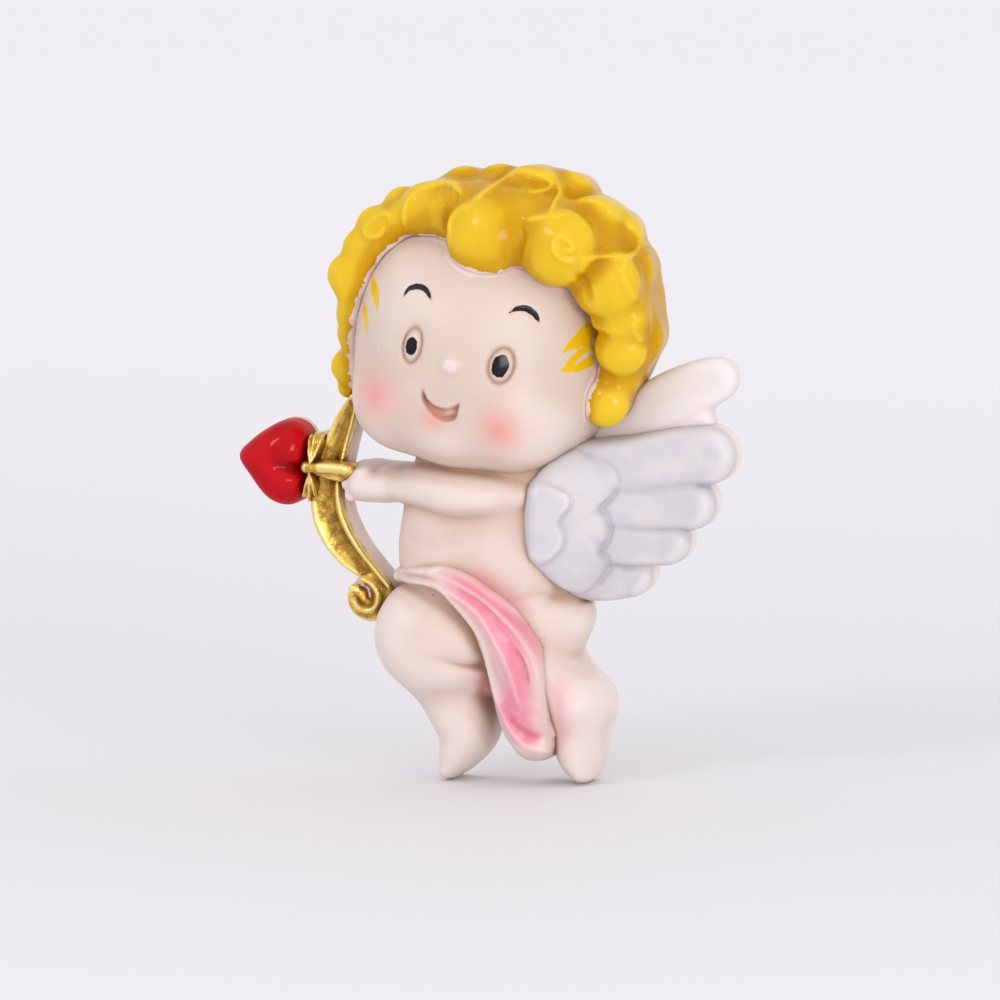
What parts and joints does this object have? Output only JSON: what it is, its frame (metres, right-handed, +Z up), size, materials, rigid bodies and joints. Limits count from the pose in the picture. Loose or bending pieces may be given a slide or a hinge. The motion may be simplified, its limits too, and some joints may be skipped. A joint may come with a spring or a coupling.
{
  "type": "cherub archer figurine",
  "caption": "Flat-backed resin cherub drawing a bow whose arrow ends in a heart, with curly hair, feathered wings and a draped sash.",
  "frame": {"origin": "on the ground, under the middle of the figurine's bounding box", "axes": "+Z up, -Y the way the cherub faces, +X to the viewer's right; the flat back lies in a plane of constant Y"},
  "size_m": [0.0575, 0.0185, 0.0701],
  "materials": {
    "skin_paint": "satin sprayed skin tone with airbrushed blush over cast resin",
    "hair_paint": "glossy golden yellow enamel, thin on the raised ridges",
    "sash_paint": "satin pink airbrushed over cream",
    "wing_paint": "satin white over bare resin",
    "gold_paint": "mottled metallic gold paint",
    "heart_paint": "thick high-gloss red enamel",
    "ferrite": "sintered ferrite, dull dark grey"
  },
  "bodies": {
    "root": {"trunk": "skin_paint", "head": "skin_paint", "hair": "hair_paint", "left_arm": "skin_paint", "right_leg": "skin_paint", "left_leg": "skin_paint", "drape": "sash_paint", "left_wing": "wing_paint", "right_wing": "wing_paint", "bow": "gold_paint", "arrow_ferrule": "gold_paint", "arrow_shaft": "gold_paint", "heart_arrowhead": "heart_paint", "magnet": "ferrite"}
  },
  "joints": []
}
